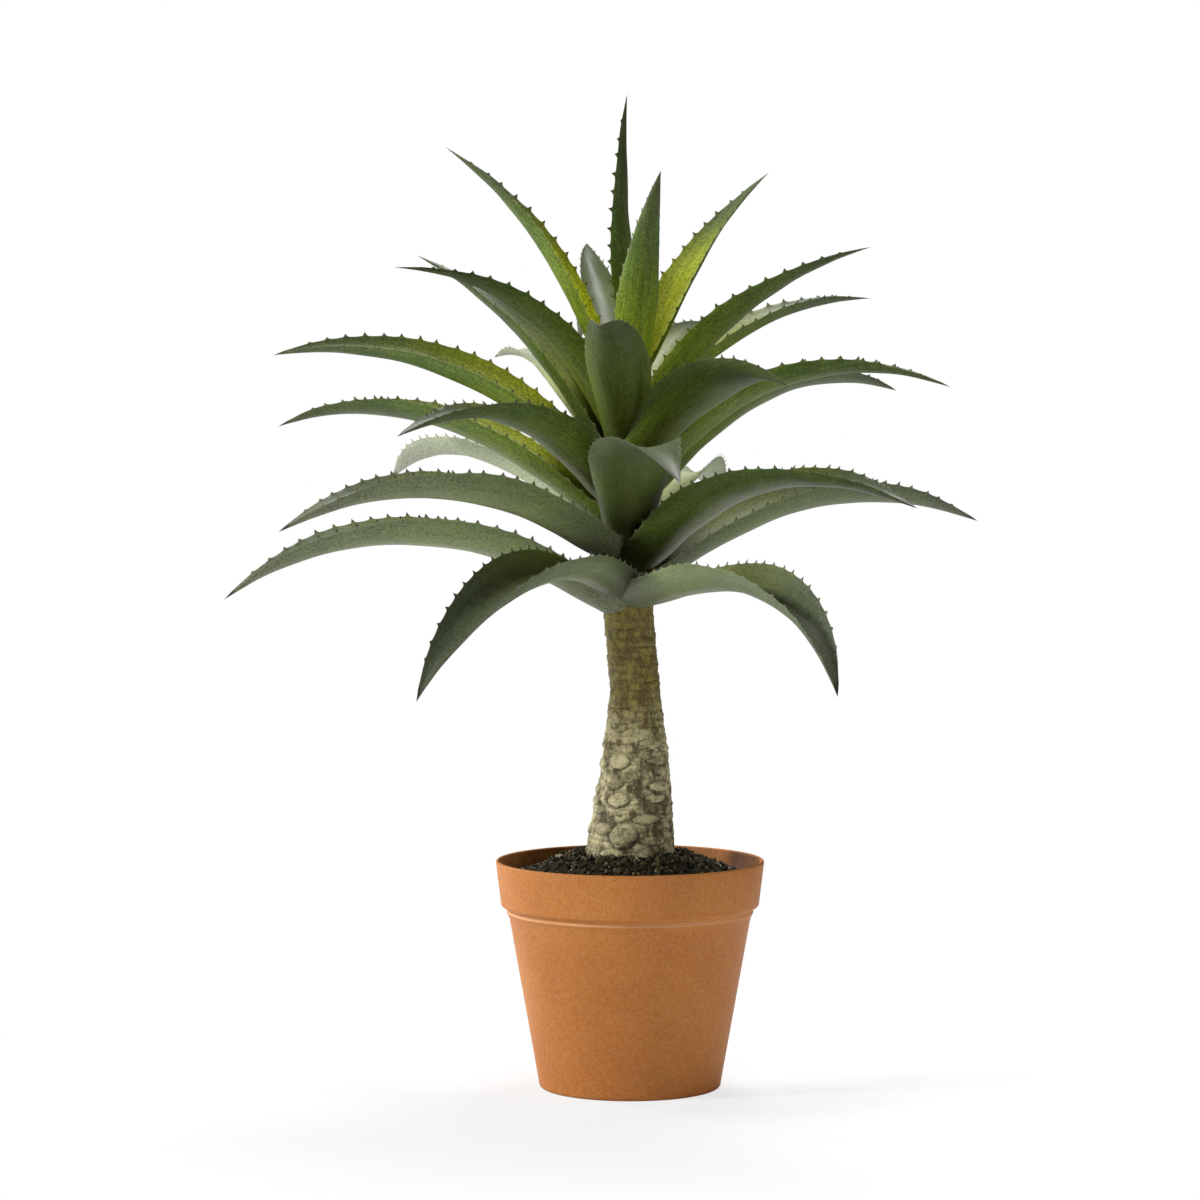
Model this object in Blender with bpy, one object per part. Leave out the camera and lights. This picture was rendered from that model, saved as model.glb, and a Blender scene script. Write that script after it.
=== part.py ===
"""Potted agave: a trunked rosette of channelled leaves standing in a tapered pot of soil.

Metres, +Z up. The origin is the centre of the pot's flat underside, and -Y faces the viewer.
"""
from math import cos, pi, radians, sin, sqrt

import bmesh
import bpy
from mathutils import Vector

MM = 0.001

# ---------------------------------------------------------------- pot
POT_TOP_RADIUS = 80.4 * MM
POT_HEIGHT = 137 * MM
POT_WALL = 2.4 * MM
POT_LIP = 1.0 * MM
BAND_BOTTOM_RADIUS = 77.4 * MM
BAND_BOTTOM_HEIGHT = 110.5 * MM
BODY_TOP_RADIUS = 72.3 * MM
BODY_TOP_HEIGHT = 102.5 * MM
BAND_EDGE = 1.5 * MM
FOOT_RADIUS = 54.6 * MM
FOOT_ROUND = 2.6 * MM
POT_FLOOR = 4 * MM
POT_STEPS = 56
ARC_STEPS = 3

# ---------------------------------------------------------------- soil
SOIL_LEVEL = 126 * MM
SOIL_MOUND = 15 * MM
SOIL_CLEARANCE = 0.35 * MM
SOIL_STEPS = 40
SOIL_RINGS = 6

# ---------------------------------------------------------------- trunk and stem
TRUNK_BURIED = 45 * MM
TRUNK_STEPS = 24
ROOT_ROUND = 6 * MM
STEM_TOP = 430 * MM
STEM_CAP = 5 * MM
# radius by height (mm): a cone from the soil to the neck, and the stem that tapers in the rosette
STEM_RADII = ((140, 27), (240, 15), (290, 15), (430, 8))
# sideways lean by height (mm)
STEM_LEAN = ((140, 0), (190, 3), (240, 3), (285, -1))

# ---------------------------------------------------------------- leaves
LEAF_STATIONS = 13
LEAF_ROUND = 8
LEAF_SEAT_GAP = 0.5 * MM
# each leaf is seated one step above the last
SEAT_LOWEST = 285 * MM
SEAT_STEP = 5 * MM
LEAF_BASE_SHARE = 0.34
LEAF_WIDEST_AT = 0.38
LEAF_BASE_FOLD = 150
LEAF_THICK_BASE = 3.4 * MM
LEAF_THICK_TIP = 1.2 * MM
LEAF_THINS_BELOW = 8 * MM
LEAF_FOLD_EASE = 0.45
# size class: length, flat width (mm) and how full the outer half stays
LEAF_SIZES = {
    "a": (250, 56, 2.1),
    "b": (240, 56, 2.0),
    "c": (228, 52, 1.8),
    "d": (208, 48, 1.5),
    "e": (182, 42, 1.35),
    "f": (165, 34, 1.2),
}
# from the lowest up: name, size class, bearing (0 is +X, 90 is the back), then how it grows:
# rise at the seat, droop from seat to tip, bend (1 droops evenly, more droops late), sweep
# sideways, twist and fold; all angles in degrees
LEAVES = (
    ("leaf_01", "a", 205, 35, 70, 1.2, -15, 0, 145),
    ("leaf_02", "a", 295, 10, 80, 3.0, 10, 0, 150),
    ("leaf_03", "a", 250, 15, 75, 1.8, -35, -10, 145),
    ("leaf_04", "a", 35, 30, 50, 1.3, -15, 0, 140),
    ("leaf_05", "a", 95, 25, 50, 1.3, 0, 0, 140),
    ("leaf_06", "b", 305, 35, 55, 1.3, 20, 0, 120),
    ("leaf_07", "b", 220, 30, 55, 1.3, -15, 0, 145),
    ("leaf_08", "b", 75, 30, 55, 1.3, 0, 0, 120),
    ("leaf_09", "b", 135, 35, 60, 1.3, -20, 0, 120),
    ("leaf_10", "b", 270, 30, 60, 2.0, 20, 0, 80),
    ("leaf_11", "c", 165, 40, 60, 1.5, -5, 0, 130),
    ("leaf_12", "c", 90, 40, 50, 1.3, 0, 0, 120),
    ("leaf_13", "c", 240, 35, 55, 1.5, -15, 0, 130),
    ("leaf_14", "c", 40, 45, 60, 1.2, 0, 0, 120),
    ("leaf_15", "d", 345, 60, 80, 1.0, 0, 0, 130),
    ("leaf_16", "c", 170, 45, 55, 1.3, 0, -20, 130),
    ("leaf_17", "d", 115, 45, 55, 1.3, 0, 0, 100),
    ("leaf_18", "d", 295, 35, 50, 1.5, 0, -40, 80),
    ("leaf_19", "e", 155, 60, 35, 1.2, 0, 0, 110),
    ("leaf_20", "d", 265, 35, 40, 2.0, 0, 0, 130),
    ("leaf_21", "e", 70, 50, 60, 1.3, 0, 0, 110),
    ("leaf_22", "e", 210, 65, 65, 1.2, -10, 0, 110),
    ("leaf_23", "e", 330, 55, 40, 1.2, 15, 0, 110),
    ("leaf_24", "e", 30, 45, 45, 1.2, 0, 0, 110),
    ("leaf_25", "e", 100, 45, 70, 1.3, 0, 0, 110),
    ("leaf_26", "f", 280, 70, 35, 1.5, 0, 0, 150),
    ("leaf_27", "e", 170, 70, 35, 1.5, 0, 0, 110),
    ("leaf_28", "f", 105, 45, 30, 1.5, -15, 0, 130),
    ("leaf_29", "f", 45, 60, 25, 1.5, -10, 0, 110),
    ("leaf_30", "f", 340, 100, 15, 1.5, 0, 0, 110),
)

MATERIALS = {
    "terracotta_plastic": ((0.42, 0.16, 0.05, 1.0), 0.6),
    "potting_soil": ((0.02, 0.02, 0.014, 1.0), 0.95),
    "trunk_bark": ((0.30, 0.24, 0.10, 1.0), 0.85),
    "agave_leaf": ((0.22, 0.32, 0.10, 1.0), 0.5),
}


def clear_scene():
    for item in list(bpy.data.objects):
        bpy.data.objects.remove(item, do_unlink=True)


def make_material(name):
    colour, roughness = MATERIALS[name]
    material = bpy.data.materials.get(name) or bpy.data.materials.new(name)
    material.use_nodes = True
    shader = material.node_tree.nodes["Principled BSDF"]
    shader.inputs["Base Color"].default_value = colour
    shader.inputs["Roughness"].default_value = roughness
    return material


def add_object(name, mesh, collection, material_name):
    item = bpy.data.objects.new(name, mesh)
    collection.objects.link(item)
    mesh.materials.append(make_material(material_name))
    return item


def interpolate(points, height):
    """Value (m) at a height (m) of a list of (height, value) pairs in mm."""
    level = height / MM
    if level <= points[0][0]:
        return points[0][1] * MM
    for (low, first), (high, second) in zip(points, points[1:]):
        if level <= high:
            share = (level - low) / (high - low)
            return (first + (second - first) * share) * MM
    return points[-1][1] * MM


def revolve(name, profile, steps, collection, material_name):
    """A closed body turned about Z from a profile that starts and ends on the axis."""
    bm = bmesh.new()
    verts = [bm.verts.new((radius, 0, height)) for radius, height in profile]
    edges = [bm.edges.new(pair) for pair in zip(verts, verts[1:])]
    bmesh.ops.spin(bm, geom=verts + edges, cent=(0, 0, 0), axis=(0, 0, 1), angle=2 * pi,
                   steps=steps, use_merge=False, use_duplicate=False)
    bmesh.ops.remove_doubles(bm, verts=bm.verts, dist=1e-6)
    bmesh.ops.recalc_face_normals(bm, faces=bm.faces)
    mesh = bpy.data.meshes.new(name)
    bm.to_mesh(mesh)
    bm.free()
    return add_object(name, mesh, collection, material_name)


def arc(centre, radius, start, end):
    """Points of a round stretch in the profile plane, angles in degrees."""
    points = []
    for index in range(ARC_STEPS + 1):
        angle = radians(start + (end - start) * index / ARC_STEPS)
        points.append((centre[0] + radius * cos(angle), centre[1] + radius * sin(angle)))
    return points


def inner_radius(height):
    """Inside radius of the pot at a height, one wall inside its outer face."""
    if height >= BAND_BOTTOM_HEIGHT:
        share = (height - BAND_BOTTOM_HEIGHT) / (POT_HEIGHT - BAND_BOTTOM_HEIGHT)
        return BAND_BOTTOM_RADIUS + (POT_TOP_RADIUS - BAND_BOTTOM_RADIUS) * share - POT_WALL
    if height >= BODY_TOP_HEIGHT:
        share = (height - BODY_TOP_HEIGHT) / (BAND_BOTTOM_HEIGHT - BODY_TOP_HEIGHT)
        return BODY_TOP_RADIUS + (BAND_BOTTOM_RADIUS - BODY_TOP_RADIUS) * share - POT_WALL
    share = height / BODY_TOP_HEIGHT
    return FOOT_RADIUS + (BODY_TOP_RADIUS - FOOT_RADIUS) * share - POT_WALL


def make_pot(collection):
    """One moulded cup: floor, wall, step up to the rim band, and a rounded lip."""
    lip_top = POT_HEIGHT - POT_LIP
    outer_lip = arc((POT_TOP_RADIUS - POT_LIP, lip_top), POT_LIP, 90, 0)
    inner_lip = arc((POT_TOP_RADIUS - POT_WALL + POT_LIP, lip_top), POT_LIP, 180, 90)
    foot = arc((FOOT_RADIUS - FOOT_ROUND, FOOT_ROUND), FOOT_ROUND, 0, -90)
    band_foot = [(BAND_BOTTOM_RADIUS, BAND_BOTTOM_HEIGHT + BAND_EDGE),
                 (BAND_BOTTOM_RADIUS - BAND_EDGE / 2, BAND_BOTTOM_HEIGHT - BAND_EDGE / 3),
                 (BODY_TOP_RADIUS + BAND_EDGE, BODY_TOP_HEIGHT + BAND_EDGE * 1.5),
                 (BODY_TOP_RADIUS, BODY_TOP_HEIGHT - BAND_EDGE / 2)]
    inside = [(0, POT_FLOOR), (inner_radius(POT_FLOOR), POT_FLOOR),
              (inner_radius(BODY_TOP_HEIGHT), BODY_TOP_HEIGHT),
              (inner_radius(BAND_BOTTOM_HEIGHT), BAND_BOTTOM_HEIGHT)]
    profile = inside + inner_lip + outer_lip + band_foot + foot + [(0, 0)]
    return revolve("pot", profile, POT_STEPS, collection, "terracotta_plastic")


def stem_radius(height):
    return interpolate(STEM_RADII, height)


def stem_lean(height):
    return interpolate(STEM_LEAN, height)


def soil_height(radius):
    """Top of the soil: lowest at the wall, banked up against the trunk in a smooth mound."""
    trunk_radius = stem_radius(SOIL_LEVEL)
    reach = (radius - trunk_radius) / (inner_radius(SOIL_LEVEL) - trunk_radius)
    return SOIL_LEVEL + SOIL_MOUND * (0.5 + 0.5 * cos(pi * min(max(reach, 0), 1)))


def make_soil(collection):
    """The soil that fills the pot, with a socket for the trunk's buried end."""
    hole = stem_radius(0) + SOIL_CLEARANCE
    outer_top = inner_radius(SOIL_LEVEL) - SOIL_CLEARANCE
    bottom = POT_FLOOR + SOIL_CLEARANCE
    socket = SOIL_LEVEL - TRUNK_BURIED - SOIL_CLEARANCE
    rings = [outer_top - (outer_top - hole) * share / SOIL_RINGS for share in range(SOIL_RINGS + 1)]
    profile = [(0, bottom), (inner_radius(bottom) - SOIL_CLEARANCE, bottom),
               (inner_radius(BODY_TOP_HEIGHT) - SOIL_CLEARANCE, BODY_TOP_HEIGHT),
               (inner_radius(BAND_BOTTOM_HEIGHT) - SOIL_CLEARANCE, BAND_BOTTOM_HEIGHT)]
    profile += [(radius, soil_height(radius)) for radius in rings]
    profile += [(hole, socket), (0, socket)]
    return revolve("soil", profile, SOIL_STEPS, collection, "potting_soil")


def make_trunk(collection):
    """The bare trunk and the stem inside the rosette, one grown piece that leans a little."""
    root = SOIL_LEVEL - TRUNK_BURIED
    profile = [(0, root), (stem_radius(root) - ROOT_ROUND, root),
               (stem_radius(root), root + ROOT_ROUND)]
    profile += [(radius * MM, level * MM) for level, radius in STEM_RADII]
    profile += [(stem_radius(STEM_TOP) / 2, STEM_TOP + STEM_CAP * 0.8), (0, STEM_TOP + STEM_CAP)]
    trunk = revolve("trunk", profile, TRUNK_STEPS, collection, "trunk_bark")
    for vertex in trunk.data.vertices:
        vertex.co.x += stem_lean(vertex.co.z)
    return trunk


def leaf_growth(leaf, share):
    """Pitch, heading and roll (radians) along the leaf: it rises, droops and turns as it grows."""
    bearing, rise, droop, bend, sweep, twist = leaf[2:8]
    pitch = radians(rise - droop * share ** bend)
    heading = radians(bearing + sweep * share * share)
    return pitch, heading, radians(twist * share)


def leaf_width(share, width, fullness):
    """Flat width along the leaf: narrow seat, widest before the middle, pointed tip."""
    if share < LEAF_WIDEST_AT:
        rise = sin(pi / 2 * share / LEAF_WIDEST_AT)
        return width * (LEAF_BASE_SHARE + (1 - LEAF_BASE_SHARE) * rise)
    outer = (share - LEAF_WIDEST_AT) / (1 - LEAF_WIDEST_AT)
    return width * (1 - outer ** fullness)


def leaf_fold(share, fold):
    """Arc angle of the channel: deep at the seat, easing to the leaf's own fold."""
    return radians(LEAF_BASE_FOLD + (fold - LEAF_BASE_FOLD) * min(1, share / LEAF_FOLD_EASE))


def leaf_axes(pitch, heading, roll):
    """Direction, side and inner normal of the leaf at one station."""
    forward = Vector((cos(pitch) * cos(heading), cos(pitch) * sin(heading), sin(pitch)))
    upward = Vector((-sin(pitch) * cos(heading), -sin(pitch) * sin(heading), cos(pitch)))
    side = upward.cross(forward)
    return forward, side * cos(roll) + upward * sin(roll), upward * cos(roll) - side * sin(roll)


def leaf_seat(height, bearing, pitch, width):
    """Where the midrib starts, so that the channel's edges just clear the stem."""
    fold = leaf_fold(0, 0)
    arc_radius = LEAF_BASE_SHARE * width / fold
    depth = arc_radius * (1 - cos(fold / 2))
    half = arc_radius * sin(fold / 2)
    clear = stem_radius(height) + LEAF_SEAT_GAP
    edge = sqrt(max(clear * clear - half * half, 0)) + depth * max(sin(pitch), 0)
    reach = max(edge, clear + LEAF_THICK_BASE / 2 * abs(sin(pitch)))
    return Vector((stem_lean(height) + reach * cos(bearing), reach * sin(bearing), height))


def leaf_point(leaf, share, round_share, start_points):
    """A point of the leaf's skin: round_share runs round the section from one edge and back."""
    size, fold = leaf[1], leaf[8]
    _, width, fullness = LEAF_SIZES[size]
    _, side, inward = leaf_axes(*leaf_growth(leaf, share))
    angle = leaf_fold(share, fold)
    across = leaf_width(share, width * MM, fullness)
    arc_radius = across / angle
    # 0..0.5 is the outer face from one edge to the other, 0.5..1 the inner face on the way back
    position = 4 * round_share - 1 if round_share <= 0.5 else 3 - 4 * round_share
    turn = position * angle / 2
    thickness = LEAF_THICK_BASE + (LEAF_THICK_TIP - LEAF_THICK_BASE) * share
    thickness *= (1 - position * position) * min(1, across / LEAF_THINS_BELOW)
    offset = -thickness / 2 if round_share <= 0.5 else thickness / 2
    spread = (arc_radius - offset) * sin(turn)
    rise = arc_radius - (arc_radius - offset) * cos(turn)
    return start_points[share] + side * spread + inward * rise


def leaf_midrib(leaf):
    """Midrib points by share of the length, added up from short straight steps."""
    size, bearing, rise = leaf[1:4]
    length, width, _ = LEAF_SIZES[size]
    height = SEAT_LOWEST + SEAT_STEP * LEAVES.index(leaf)
    place = leaf_seat(height, radians(bearing), radians(rise), width * MM)
    points = {0.0: place.copy()}
    for index in range(LEAF_STATIONS - 1):
        forward = leaf_axes(*leaf_growth(leaf, (index + 0.5) / (LEAF_STATIONS - 1)))[0]
        place = place + forward * (length * MM / (LEAF_STATIONS - 1))
        points[(index + 1) / (LEAF_STATIONS - 1)] = place.copy()
    return points


def make_leaf(leaf, collection):
    """One leaf: a closed lens section, thick at the midrib, swept along the arched midrib."""
    points = leaf_midrib(leaf)
    bm = bmesh.new()
    bmesh.ops.create_grid(bm, x_segments=LEAF_STATIONS - 1, y_segments=LEAF_ROUND, size=0.5)
    for vertex in bm.verts:
        station = round((vertex.co.x + 0.5) * (LEAF_STATIONS - 1))
        around = round((vertex.co.y + 0.5) * LEAF_ROUND)
        vertex.co = leaf_point(leaf, station / (LEAF_STATIONS - 1), around / LEAF_ROUND, points)
    bmesh.ops.remove_doubles(bm, verts=bm.verts, dist=1e-6)
    open_edges = [edge for edge in bm.edges if edge.is_boundary]
    bmesh.ops.holes_fill(bm, edges=open_edges, sides=0)
    bmesh.ops.recalc_face_normals(bm, faces=bm.faces)
    mesh = bpy.data.meshes.new(leaf[0])
    bm.to_mesh(mesh)
    bm.free()
    return add_object(leaf[0], mesh, collection, "agave_leaf")


def main():
    clear_scene()
    collection = bpy.data.collections.new("potted_agave")
    bpy.context.scene.collection.children.link(collection)
    make_pot(collection)
    make_soil(collection)
    make_trunk(collection)
    for leaf in LEAVES:
        make_leaf(leaf, collection)


main()
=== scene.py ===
"""Dressed potted agave: toothed channelled leaves, scarred trunk, soil and clay-coloured pot."""

from math import cos, exp, pi, radians, sin, sqrt
from random import Random

import bmesh
import bpy
from mathutils import Matrix, Vector, noise


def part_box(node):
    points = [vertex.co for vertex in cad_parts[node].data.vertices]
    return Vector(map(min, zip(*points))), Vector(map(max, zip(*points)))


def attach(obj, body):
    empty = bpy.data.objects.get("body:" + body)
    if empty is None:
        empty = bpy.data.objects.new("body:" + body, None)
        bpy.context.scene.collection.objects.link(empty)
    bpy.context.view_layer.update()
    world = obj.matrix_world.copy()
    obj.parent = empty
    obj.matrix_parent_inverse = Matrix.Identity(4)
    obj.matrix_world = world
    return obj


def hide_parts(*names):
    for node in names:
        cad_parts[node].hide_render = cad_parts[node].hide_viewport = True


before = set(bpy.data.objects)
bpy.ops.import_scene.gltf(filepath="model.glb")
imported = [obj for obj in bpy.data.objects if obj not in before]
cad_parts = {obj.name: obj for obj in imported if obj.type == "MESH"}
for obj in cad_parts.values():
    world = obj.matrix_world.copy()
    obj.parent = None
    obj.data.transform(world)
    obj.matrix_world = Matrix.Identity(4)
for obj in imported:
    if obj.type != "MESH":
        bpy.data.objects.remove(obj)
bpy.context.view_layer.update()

MM = 0.001

# ---------------------------------------------------------------- pot
POT_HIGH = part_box("pot")[1]
POT_TOP_RADIUS = POT_HIGH.x
POT_HEIGHT = POT_HIGH.z
POT_WALL = 2.4 * MM
POT_LIP = 1.15 * MM
BAND_BOTTOM_RADIUS = 77.4 * MM
BAND_BOTTOM_HEIGHT = 110.5 * MM
BODY_TOP_RADIUS = 72.3 * MM
BODY_TOP_HEIGHT = 102.5 * MM
RIDGE_HEIGHT = 106.0 * MM
RIDGE_ROUND = 1.5 * MM
FOOT_RADIUS = 54.6 * MM
FOOT_ROUND = 2.6 * MM
POT_FLOOR = 4 * MM
UNDERSIDE_RECESS = 1.0 * MM
FOOT_RING = 8 * MM
BAND_ROUND = 1.6 * MM
BAND_LIFT = 0.6 * MM
CLEAN_RIM = 3 * MM
POT_STEPS = 160

# ---------------------------------------------------------------- soil
SOIL_LEVEL = 126 * MM
SOIL_MOUND = 15 * MM
SOIL_DEPTH = 30 * MM
SOIL_RINGS = 44
SOIL_STEPS = 150
# how high the soil's roughness and lumps stand, and how closely they are spaced
SOIL_ROUGHNESS = 1.5 * MM
SOIL_LUMPS = 2.0 * MM
SOIL_ROUGH_PITCH = 260
SOIL_LUMP_PITCH = 70
CRUMBS = 3400
CRUMB_SIZE = 2.0 * MM
CRUMB_DENTS = 0.22
CRUMB_SEED = 7

# ---------------------------------------------------------------- trunk and stem
TRUNK_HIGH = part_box("trunk")[1]
ROSETTE_FOOT = 284 * MM
# radius by height (mm): a cone from the soil to the neck, and the stem that tapers in the rosette
STEM_RADII = ((140, 27), (240, 15), (290, 15), (430, 8))
# sideways lean by height (mm)
STEM_LEAN = ((140, 0), (190, 3), (240, 3), (285, -1))
TRUNK_AROUND = 180
TRUNK_UP = 330
TRUNK_IN_SOIL = 10 * MM
BARK_FADE = 6 * MM
STEM_CAP = 6 * MM
# heights (m) between which the smooth upper bark gives way to the pale corky bark
CORK_TOP = 0.195
SMOOTH_FOOT = 0.245
# the boldest scars: angle (degrees), height, half width, half height and rise (mm)
BOLD_SCARS = (
    (240, 198, 7, 4.5, 1.7),
    (235, 185, 6, 3.5, 1.3),
    (245, 175, 7, 4, 1.7),
    (225, 158, 7, 3.5, 1.7),
    (258, 154, 8.5, 7, 1.6),
    (225, 222, 3.5, 4.5, 1.3),
)
SCAR_SEED = 21
SCARS_FROM = 141 * MM
FIRST_SCAR_ANGLE = 1.9
# the angle from one leaf, and so one scar, to the next
SCAR_TURN = 137.5
# scars are youngest at this height and fully grown this far below it
SCAR_YOUNGEST = 238 * MM
SCAR_GROWN_BELOW = 60 * MM
GROOVE_DEPTH = 0.5 * MM
RING_SPACING = 5.2 * MM
RING_WAVER = 2.6 * MM
# width of a ring's crack as a share of the spacing
RING_CRACK = 0.09

# ---------------------------------------------------------------- leaves
LEAF_SEAT_GAP = 0.5 * MM
SEAT_LOWEST = 285 * MM
SEAT_STEP = 5 * MM
LEAF_BASE_SHARE = 0.34
LEAF_WIDEST_AT = 0.38
LEAF_BASE_FOLD = 150
LEAF_FOLD_EASE = 0.45
LEAF_THICK_BASE = 3.4 * MM
LEAF_THICK_TIP = 1.2 * MM
LEAF_THINS_BELOW = 8 * MM
LEAF_FOOT = 0.30
LEAF_FOOT_WIDE = 0.42
LEAF_FOOT_REACH = 7 * MM
LEAF_FACETS = 10
MIDRIB_STEPS = 96
TOOTH_SPACING = 10.5 * MM
TOOTH_HEIGHT = 2.2 * MM
TOOTH_HALF = 1.5 * MM
# above 1, a tooth tapers more sharply than a plain triangle
TOOTH_TAPER = 1.35
SCALLOP = 0.55 * MM
# teeth start this far along the leaf and cover this share of it
TEETH_FROM = 0.05
TEETH_SPAN = 0.88
TEETH_COUNT_SPAN = 0.86
FEWEST_TEETH = 8
LEAF_SEED = 100
# size class: length, flat width (mm) and how full the outer half stays
LEAF_SIZES = {
    "a": (250, 56, 2.1),
    "b": (240, 56, 2.0),
    "c": (228, 52, 1.8),
    "d": (208, 48, 1.5),
    "e": (182, 42, 1.35),
    "f": (165, 34, 1.2),
}
# from the lowest up: name, size class, bearing (0 is +X, 90 is the back), then how it grows:
# rise at the seat, droop from seat to tip, bend (1 droops evenly, more droops late), sweep
# sideways, twist and fold; all angles in degrees
LEAVES = (
    ("leaf_01", "a", 205, 35, 70, 1.2, -15, 0, 145),
    ("leaf_02", "a", 295, 10, 80, 3.0, 10, 0, 150),
    ("leaf_03", "a", 250, 15, 75, 1.8, -35, -10, 145),
    ("leaf_04", "a", 35, 30, 50, 1.3, -15, 0, 140),
    ("leaf_05", "a", 95, 25, 50, 1.3, 0, 0, 140),
    ("leaf_06", "b", 305, 35, 55, 1.3, 20, 0, 120),
    ("leaf_07", "b", 220, 30, 55, 1.3, -15, 0, 145),
    ("leaf_08", "b", 75, 30, 55, 1.3, 0, 0, 120),
    ("leaf_09", "b", 135, 35, 60, 1.3, -20, 0, 120),
    ("leaf_10", "b", 270, 30, 60, 2.0, 20, 0, 80),
    ("leaf_11", "c", 165, 40, 60, 1.5, -5, 0, 130),
    ("leaf_12", "c", 90, 40, 50, 1.3, 0, 0, 120),
    ("leaf_13", "c", 240, 35, 55, 1.5, -15, 0, 130),
    ("leaf_14", "c", 40, 45, 60, 1.2, 0, 0, 120),
    ("leaf_15", "d", 345, 60, 80, 1.0, 0, 0, 130),
    ("leaf_16", "c", 170, 45, 55, 1.3, 0, -20, 130),
    ("leaf_17", "d", 115, 45, 55, 1.3, 0, 0, 100),
    ("leaf_18", "d", 295, 35, 50, 1.5, 0, -40, 80),
    ("leaf_19", "e", 155, 60, 35, 1.2, 0, 0, 110),
    ("leaf_20", "d", 265, 35, 40, 2.0, 0, 0, 130),
    ("leaf_21", "e", 70, 50, 60, 1.3, 0, 0, 110),
    ("leaf_22", "e", 210, 65, 65, 1.2, -10, 0, 110),
    ("leaf_23", "e", 330, 55, 40, 1.2, 15, 0, 110),
    ("leaf_24", "e", 30, 45, 45, 1.2, 0, 0, 110),
    ("leaf_25", "e", 100, 45, 70, 1.3, 0, 0, 110),
    ("leaf_26", "f", 280, 70, 35, 1.5, 0, 0, 150),
    ("leaf_27", "e", 170, 70, 35, 1.5, 0, 0, 110),
    ("leaf_28", "f", 105, 45, 30, 1.5, -15, 0, 130),
    ("leaf_29", "f", 45, 60, 25, 1.5, -10, 0, 110),
    ("leaf_30", "f", 340, 100, 15, 1.5, 0, 0, 110),
)
# how yellow the foot of each leaf is, and how much painted light glows through it on the inner
# face: by size class, and for the leaves that differ from it
GLOW = {"a": 0.35, "b": 0.45, "c": 0.6, "d": 0.7, "e": 0.75, "f": 1.0}
OWN_GLOW = {"leaf_16": 0.6, "leaf_19": 0.35, "leaf_27": 1.0, "leaf_28": 0.1, "leaf_29": 0.65,
            "leaf_30": 0.4}
# how much darker than the rest a leaf is drawn: partly its own darker skin, partly painted shade on
# leaves that sit in shadow
SKIN_AND_SHADE_DARKENING = {"leaf_02": 0.25, "leaf_03": 0.4, "leaf_04": 0.35, "leaf_06": 0.42, "leaf_10": 0.45,
        "leaf_11": 0.2, "leaf_13": 0.3, "leaf_14": 0.25, "leaf_15": 0.15, "leaf_18": 0.3,
        "leaf_19": 0.3, "leaf_20": 0.3, "leaf_21": 0.5, "leaf_22": 0.4, "leaf_23": 0.2,
        "leaf_24": 0.2, "leaf_28": 0.45, "leaf_30": 0.35}
# how much pale powder lies on a leaf, partly real bloom and partly a painted sheen on leaves that
# catch grazing light
POWDER_AND_SHEEN = {"leaf_01": 0.35, "leaf_02": 0.3, "leaf_03": 0.25, "leaf_04": 0.3, "leaf_07": 0.35,
          "leaf_08": 0.7, "leaf_09": 0.9, "leaf_10": 0.05, "leaf_17": 0.75, "leaf_28": 0.15}

# ---------------------------------------------------------------- colours
# leaf
OUTER_GREEN = (0.056, 0.112, 0.009, 1)
OUTER_LIGHT_GREEN = (0.092, 0.160, 0.020, 1)
KEEL_BLOOM_AND_HIGHLIGHT_GREY = (0.135, 0.140, 0.085, 1)
OUTER_HALF_OLIVE = (0.064, 0.066, 0.027, 1)
FOOT_YELLOW_GREEN = (0.26, 0.34, 0.008, 1)
INNER_LIGHT_GREEN = (0.068, 0.112, 0.016, 1)
INNER_GREEN = (0.048, 0.092, 0.012, 1)
INNER_HALF_OLIVE = (0.070, 0.078, 0.036, 1)
FOOT_YELLOW_GLOW = (0.62, 0.66, 0.010, 1)
GAP_SHADE_DARK = (0.010, 0.016, 0.003, 1)
POWDER_AND_SHEEN_GREY = (0.52, 0.54, 0.44, 1)
MARGIN_PALE = (0.42, 0.44, 0.26, 1)
TOOTH_BROWN = (0.085, 0.045, 0.022, 1)
TIP_BROWN = (0.06, 0.035, 0.02, 1)
SKIN_AND_SHADE_DARK_GREEN = (0.012, 0.016, 0.005, 1)
# bark
BARK_BROWN = (0.125, 0.090, 0.016, 1)
BARK_OLIVE = (0.27, 0.235, 0.045, 1)
CORK_BROWN = (0.105, 0.080, 0.030, 1)
CORK_KHAKI = (0.62, 0.565, 0.310, 1)
SCAR_KHAKI = (0.60, 0.55, 0.32, 1)
CRACK_DARK = (0.045, 0.032, 0.014, 1)
GROOVE_SHADE_DARK = (0.04, 0.028, 0.012, 1)
SPECK_BROWN = (0.085, 0.048, 0.020, 1)
# soil
COMPOST_BLACK = (0.006, 0.005, 0.002, 1)
COMPOST_BROWN = (0.038, 0.032, 0.013, 1)
CRUMB_BROWN = (0.080, 0.068, 0.028, 1)
GRIT_AND_GLINT_PALE = (0.42, 0.38, 0.26, 1)
# pot
CLAY = (0.470, 0.161, 0.031, 1)
CLAY_LIGHT = (0.535, 0.198, 0.041, 1)
CLAY_PALE_FLECK = (0.60, 0.32, 0.15, 1)
CLAY_DARK_FLECK = (0.22, 0.065, 0.015, 1)
RIDGE_HIGHLIGHT_PALE = (0.78, 0.46, 0.24, 1)
CLAY_SOILED = (0.085, 0.035, 0.014, 1)
# studio
FLOOR_GREY = (0.8, 0.8, 0.8, 1)
STUDIO_WHITE = (1, 1, 1, 1)


# ================================================================ shader helpers
def feed(tree, socket, value):
    """Links a socket to another node's output, or sets its plain value."""
    if isinstance(value, bpy.types.NodeSocket):
        tree.links.new(value, socket)
    else:
        socket.default_value = value


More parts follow.
